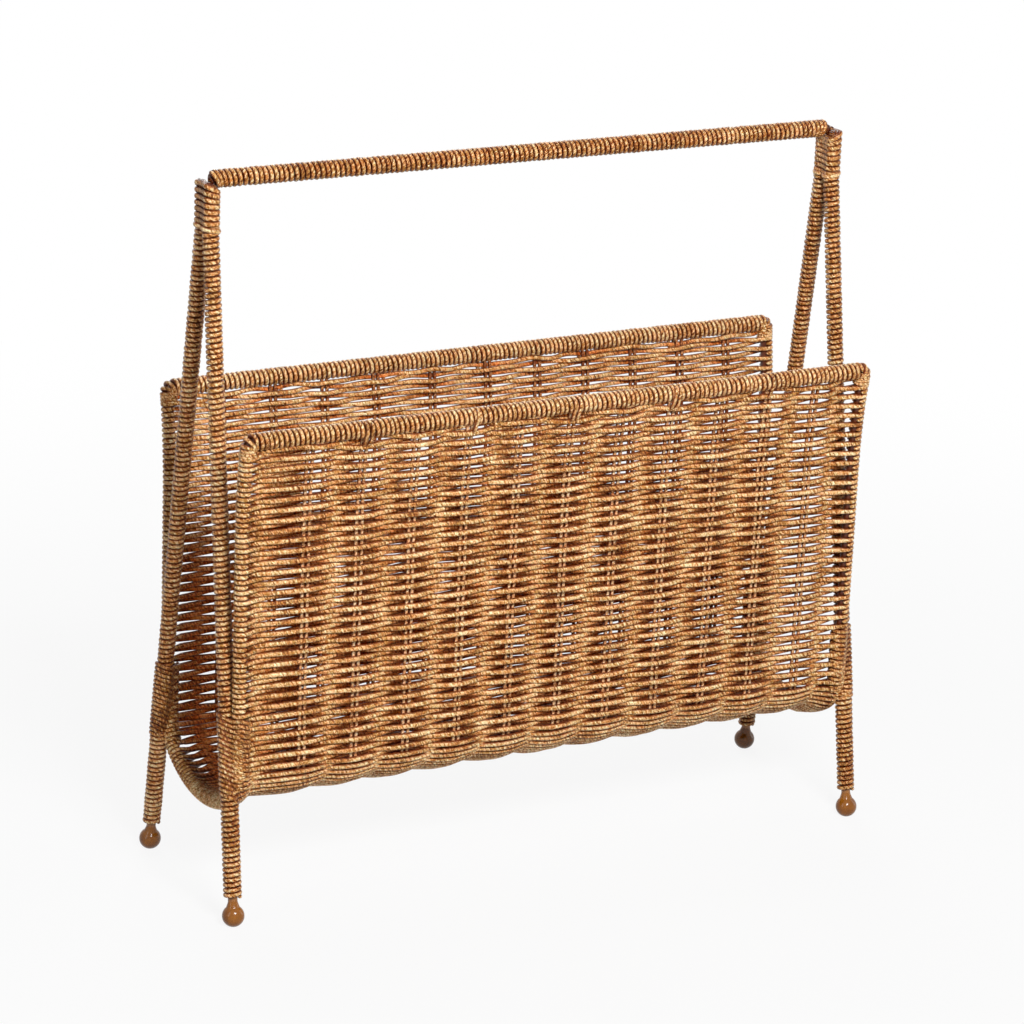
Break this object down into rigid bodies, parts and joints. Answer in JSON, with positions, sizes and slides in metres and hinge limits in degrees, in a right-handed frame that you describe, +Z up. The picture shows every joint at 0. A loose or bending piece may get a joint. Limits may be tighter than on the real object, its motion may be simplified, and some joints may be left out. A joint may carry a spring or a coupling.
{
  "type": "magazine basket",
  "caption": "Free-standing magazine basket: cord-wrapped rod frame with splayed legs on balls, a straight carrying handle and a woven U-shaped trough open at both ends.",
  "frame": {"origin": "on the floor, below the middle of the basket", "axes": "+X along the handle to the right-hand end, -Y towards the front wall, +Z up"},
  "size_m": [0.4224, 0.1328, 0.4225],
  "materials": {
    "rod": "satin brown paint",
    "cord": "two-ply twisted fibre cord, matt",
    "binding": "two-ply twisted fibre cord, matt",
    "weft": "two-ply twisted fibre cord, woven, matt",
    "stake": "twisted fibre cord, darker, matt",
    "ball": "glossy caramel brown"
  },
  "bodies": {
    "root": {"handle_rod": "rod", "handle_wrap": "cord", "left_corner_cap": "binding", "left_top_winding": "binding", "left_hoop_rod": "rod", "left_hoop_bottom_wrap": "cord", "front_left_leg_rod": "rod", "front_left_leg_wrap": "cord", "front_left_shin_wrap": "cord", "front_left_ball_foot": "ball", "front_left_crossing_binding": "binding", "front_left_hoop_wrap": "cord", "back_left_leg_rod": "rod", "back_left_leg_wrap": "cord", "back_left_shin_wrap": "cord", "back_left_ball_foot": "ball", "back_left_crossing_binding": "binding", "back_left_hoop_wrap": "cord", "right_corner_cap": "binding", "right_top_winding": "binding", "right_hoop_rod": "rod", "right_hoop_bottom_wrap": "cord", "front_right_leg_rod": "rod", "front_right_leg_wrap": "cord", "front_right_shin_wrap": "cord", "front_right_ball_foot": "ball", "front_right_crossing_binding": "binding", "front_right_hoop_wrap": "cord", "back_right_leg_rod": "rod", "back_right_leg_wrap": "cord", "back_right_shin_wrap": "cord", "back_right_ball_foot": "ball", "back_right_crossing_binding": "binding", "back_right_hoop_wrap": "cord", "front_rim_rod": "rod", "front_rim_wrap": "cord", "back_rim_rod": "rod", "back_rim_wrap": "cord", "front_weave_outer": "weft", "front_weave_inner": "weft", "bottom_weave_outer": "weft", "bottom_weave_inner": "weft", "back_weave_outer": "weft", "back_weave_inner": "weft", "stake_01": "stake", "stake_02": "stake", "stake_03": "stake", "stake_04": "stake", "stake_05": "stake", "stake_06": "stake", "stake_07": "stake", "stake_08": "stake", "stake_09": "stake", "stake_10": "stake", "stake_11": "stake"}
  },
  "joints": []
}
